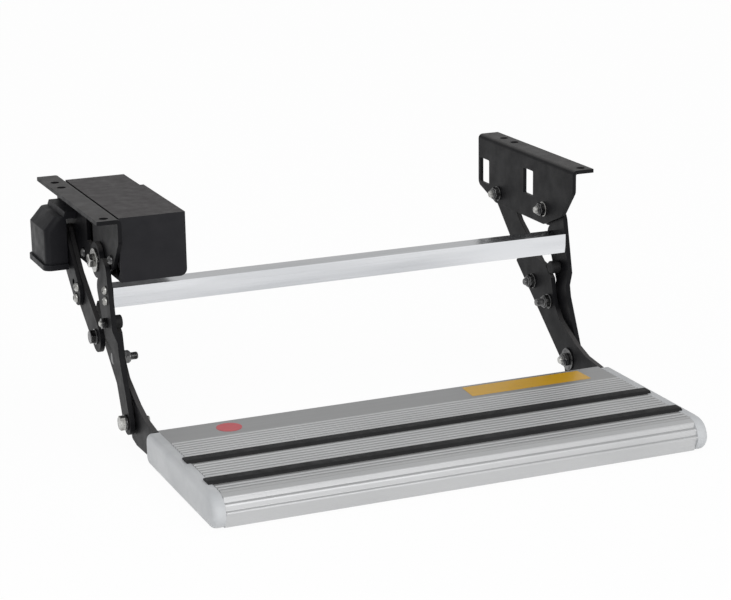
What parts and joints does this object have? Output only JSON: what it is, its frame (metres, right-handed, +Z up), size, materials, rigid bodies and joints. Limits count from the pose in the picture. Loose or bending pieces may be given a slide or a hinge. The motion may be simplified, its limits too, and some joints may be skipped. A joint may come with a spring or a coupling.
{
  "type": "folding entry step",
  "caption": "Folding entry step for a caravan: a wide ribbed tread with grip strips on side hangers, hinged on folding arms from two floor brackets, with a gearmotor.",
  "frame": {"origin": "centre of the four main floor bolt holes, in the plane where the bracket flanges meet the floor", "axes": "+X along the tread, +Y back under the floor, +Z up"},
  "size_m": [0.5518, 0.4948, 0.224],
  "materials": {
    "powder_black": "satin black powder coat",
    "anodised": "matt anodised",
    "bright_aluminium": "bright",
    "zinc": "zinc plated",
    "rubber": "matt",
    "cap_plastic": "fine grain",
    "cover_plastic": "fine grain",
    "motor_metal": "satin",
    "bush_bronze": "satin"
  },
  "bodies": {
    "brackets": {"left_bracket": "powder_black", "right_bracket": "powder_black", "motor_cover": "cover_plastic", "gearmotor": "motor_metal", "gear_case": "cover_plastic", "gear_case_screws": "zinc", "motor_mount_bolts": "zinc", "front_pivot_bolts": "zinc", "front_pivot_washers": "zinc", "front_pivot_nuts": "zinc", "rear_pivot_bolt": "zinc", "rear_pivot_washers": "zinc", "rear_pivot_nut": "zinc", "shaft_bush": "bush_bronze"},
    "front_arms": {"left_front_arm": "powder_black", "right_front_arm": "powder_black", "crossbar": "bright_aluminium", "crossbar_screws": "zinc", "stop_buffers": "rubber", "buffer_studs": "zinc", "buffer_nuts": "zinc"},
    "rear_arms": {"left_rear_arm": "powder_black", "right_rear_arm": "powder_black", "drive_crank": "powder_black", "crank_screws": "zinc", "knee_bolts": "zinc", "drive_shaft": "zinc"},
    "tread": {"tread_profile": "anodised", "front_grip_strip": "rubber", "rear_grip_strip": "rubber", "left_end_cap": "cap_plastic", "right_end_cap": "cap_plastic", "left_hanger": "powder_black", "right_hanger": "powder_black", "hanger_screws": "zinc", "lower_pivot_bolts": "zinc", "lower_pivot_washers": "zinc", "lower_pivot_nuts": "zinc", "knee_studs": "zinc", "knee_spacers": "zinc", "knee_nuts": "zinc", "stop_studs": "zinc", "stop_nuts": "zinc"}
  },
  "joints": [
    {"name": "front_arm_hinge", "type": "hinge", "parent": "brackets", "child": "front_arms", "pos_m": [0, -0.022, -0.054], "axis": [1, 0, 0], "range_deg": [0, 92.9]},
    {"name": "rear_arm_hinge", "type": "hinge", "parent": "brackets", "child": "rear_arms", "pos_m": [0, 0.088, -0.059], "axis": [1, 0, 0], "range_deg": [0, 145.34]},
    {"name": "tread_hinge", "type": "hinge", "parent": "front_arms", "child": "tread", "pos_m": [0, -0.093, -0.202], "axis": [1, 0, 0], "range_deg": [-92.9, 0]}
  ],
  "couplings": [
    {"joint": "rear_arm_hinge", "follows": "front_arm_hinge", "ratio": 1.5644},
    {"joint": "tread_hinge", "follows": "front_arm_hinge", "ratio": -1}
  ]
}
